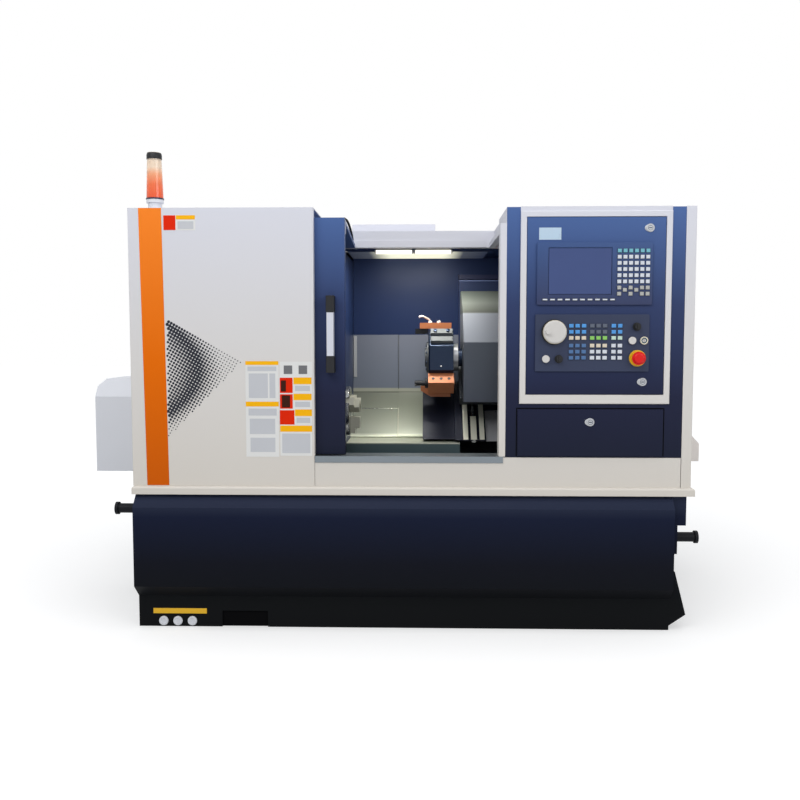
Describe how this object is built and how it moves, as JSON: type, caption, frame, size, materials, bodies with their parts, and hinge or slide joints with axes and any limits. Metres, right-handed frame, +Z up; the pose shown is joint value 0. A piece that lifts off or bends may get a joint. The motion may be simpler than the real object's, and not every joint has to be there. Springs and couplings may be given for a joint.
{
  "type": "cnc_turning_lathe",
  "caption": "Enclosed slant-bed CNC turning lathe with sliding window door, chuck spindle, indexing tool turret, hinged control panel, storage flap and roof beacon.",
  "frame": {"origin": "floor level under the middle of the machine's bounding box", "axes": "+X along the spindle from headstock to control side, +Y from the operator to the rear, +Z up"},
  "size_m": [2.602, 1.54, 1.808],
  "materials": {
    "white_paint": "fine-textured warm grey-white enamel",
    "navy_paint": "satin dark blue enamel",
    "base_paint": "satin blue-black enamel",
    "dark_trim": "matt grey",
    "black_plastic": "matt black",
    "cream_plastic": "glossy cream",
    "key_plastic": "matt membrane keys in several colours",
    "red_plastic": "glossy red",
    "orange_lens": "clear orange",
    "clear_glass": "clear laminated pane and lamp tubes",
    "cast_iron": "grey machined casting",
    "stainless": "brushed stainless sheet",
    "machined_steel": "turned and ground steel",
    "motor_paint": "satin black",
    "tool_block": "copper-coloured oxide finish",
    "tool_steel": "blackened tool steel",
    "aluminium": "satin extrusion",
    "lock_chrome": "polished",
    "belt_rubber": "matt ribbed"
  },
  "bodies": {
    "machine": {"base_housing": "base_paint", "bed_casting": "cast_iron", "leveling_feet": "machined_steel", "coolant_tank": "base_paint", "lifting_bars": "motor_paint", "headstock_cover": "white_paint", "lower_front_panel": "white_paint", "right_end_panel": "white_paint", "rear_panel": "white_paint", "roof_panel": "white_paint", "rear_cabinet": "white_paint", "inner_rear_wall": "navy_paint", "headstock_bulkhead": "navy_paint", "way_cover_fixed": "stainless", "door_tracks": "aluminium", "work_lamp": "clear_glass", "beacon_base": "aluminium", "beacon_lens": "orange_lens", "cylinder_guard": "white_paint", "z_motor_cover": "white_paint", "headstock": "cast_iron", "spindle_motor": "motor_paint", "drive_belt": "belt_rubber", "cabinet_shell": "white_paint", "cabinet_fascia": "navy_paint", "panel_trim_frame": "white_paint"},
    "door": {"door_panel": "navy_paint", "door_window": "clear_glass", "door_hood": "navy_paint", "door_handle": "black_plastic"},
    "spindle_group": {"spindle": "machined_steel", "chuck": "machined_steel"},
    "jaw_a": {"jaw_1": "machined_steel"},
    "jaw_b": {"jaw_2": "machined_steel"},
    "jaw_c": {"jaw_3": "machined_steel"},
    "motor_rotor": {"motor_pulley": "machined_steel"},
    "z_screw": {"z_screw": "machined_steel"},
    "carriage": {"saddle": "cast_iron", "sliding_guard": "stainless"},
    "x_screw": {"x_screw": "machined_steel"},
    "slide": {"cross_slide": "cast_iron", "turret_cover": "stainless"},
    "turret": {"turret_disc": "machined_steel", "tool_holders": "tool_block", "cutting_tools": "tool_steel"},
    "control_door": {"control_door": "navy_paint", "cnc_unit": "dark_trim", "operator_panel": "dark_trim", "key_pads": "key_plastic"},
    "handwheel": {"handwheel": "cream_plastic"},
    "feed_knob": {"feed_knob": "black_plastic"},
    "mode_knob": {"mode_knob": "black_plastic"},
    "key_switch": {"key_switch": "lock_chrome"},
    "estop": {"estop": "red_plastic"},
    "start_button": {"start_button": "cream_plastic"},
    "stop_button": {"stop_button": "cream_plastic"},
    "upper_lock": {"upper_lock": "lock_chrome"},
    "lower_lock": {"lower_lock": "lock_chrome"},
    "flap": {"storage_flap": "navy_paint"},
    "flap_lock": {"flap_lock": "lock_chrome"}
  },
  "joints": [
    {"name": "door_slide", "type": "slide", "parent": "machine", "child": "door", "axis": [1, 0, 0], "range_m": [0, 0.575]},
    {"name": "spindle_spin", "type": "hinge", "parent": "machine", "child": "spindle_group", "pos_m": [-0.3, -0.22, 0.795], "axis": [1, 0, 0], "continuous": true},
    {"name": "jaw_1_slide", "type": "slide", "parent": "spindle_group", "child": "jaw_a", "axis": [0, 0, -1], "range_m": [-0.004, 0.004]},
    {"name": "jaw_2_slide", "type": "slide", "parent": "spindle_group", "child": "jaw_b", "axis": [0, -0.866, 0.5], "range_m": [-0.004, 0.004]},
    {"name": "jaw_3_slide", "type": "slide", "parent": "spindle_group", "child": "jaw_c", "axis": [0, 0.866, 0.5], "range_m": [-0.004, 0.004]},
    {"name": "motor_spin", "type": "hinge", "parent": "machine", "child": "motor_rotor", "pos_m": [-0.68, -0.23, 0.33], "axis": [1, 0, 0], "continuous": true},
    {"name": "z_slide", "type": "slide", "parent": "machine", "child": "carriage", "axis": [1, 0, 0], "range_m": [-0.2, 0]},
    {"name": "z_screw_spin", "type": "hinge", "parent": "machine", "child": "z_screw", "pos_m": [0.2, 0.21275, 0.70166], "axis": [1, 0, 0], "continuous": true},
    {"name": "x_slide", "type": "slide", "parent": "carriage", "child": "slide", "axis": [0, -0.7071, -0.7071], "range_m": [0, 0.15]},
    {"name": "x_screw_spin", "type": "hinge", "parent": "carriage", "child": "x_screw", "pos_m": [0.276, -0.10828, 0.68328], "axis": [0, 0.7071, 0.7071], "continuous": true},
    {"name": "turret_index", "type": "hinge", "parent": "slide", "child": "turret", "pos_m": [0.13, 0.00627, 1.02127], "axis": [1, 0, 0], "continuous": true},
    {"name": "control_door_hinge", "type": "hinge", "parent": "machine", "child": "control_door", "pos_m": [0.431, -0.726, 1.225], "axis": [0, 0, -1], "range_deg": [0, 110]},
    {"name": "handwheel_spin", "type": "hinge", "parent": "control_door", "child": "handwheel", "pos_m": [0.532, -0.72, 1.13], "axis": [0, 1, 0], "continuous": true},
    {"name": "feed_knob_turn", "type": "hinge", "parent": "control_door", "child": "feed_knob", "pos_m": [0.835, -0.72, 1.15], "axis": [0, 1, 0], "range_deg": [-135, 135]},
    {"name": "mode_knob_turn", "type": "hinge", "parent": "control_door", "child": "mode_knob", "pos_m": [0.55, -0.72, 1.031], "axis": [0, 1, 0], "range_deg": [-135, 135]},
    {"name": "key_switch_turn", "type": "hinge", "parent": "control_door", "child": "key_switch", "pos_m": [0.861, -0.72, 1.099], "axis": [0, 1, 0], "range_deg": [0, 90]},
    {"name": "estop_push", "type": "slide", "parent": "control_door", "child": "estop", "axis": [0, 1, 0], "range_m": [0, 0.005], "stiffness_N_per_m": 1500},
    {"name": "start_button_push", "type": "slide", "parent": "control_door", "child": "start_button", "axis": [0, 1, 0], "range_m": [0, 0.003], "stiffness_N_per_m": 400},
    {"name": "stop_button_push", "type": "slide", "parent": "control_door", "child": "stop_button", "axis": [0, 1, 0], "range_m": [0, 0.003], "stiffness_N_per_m": 400},
    {"name": "upper_lock_turn", "type": "hinge", "parent": "control_door", "child": "upper_lock", "pos_m": [0.879, -0.72, 1.51], "axis": [0, 1, 0], "range_deg": [0, 90]},
    {"name": "lower_lock_turn", "type": "hinge", "parent": "control_door", "child": "lower_lock", "pos_m": [0.861, -0.72, 0.946], "axis": [0, 1, 0], "range_deg": [-90, 0]},
    {"name": "flap_hinge", "type": "hinge", "parent": "machine", "child": "flap", "pos_m": [0.671, -0.726, 0.668], "axis": [1, 0, 0], "range_deg": [0, 90]},
    {"name": "flap_lock_turn", "type": "hinge", "parent": "flap", "child": "flap_lock", "pos_m": [0.671, -0.72, 0.796], "axis": [0, 1, 0], "range_deg": [0, 90]}
  ],
  "couplings": [
    {"joint": "jaw_2_slide", "follows": "jaw_1_slide", "ratio": 1},
    {"joint": "jaw_3_slide", "follows": "jaw_1_slide", "ratio": 1},
    {"joint": "motor_spin", "follows": "spindle_spin", "ratio": 1.6154},
    {"joint": "z_screw_spin", "follows": "z_slide", "rad_per_m": 628.32},
    {"joint": "x_screw_spin", "follows": "x_slide", "rad_per_m": 628.32}
  ]
}
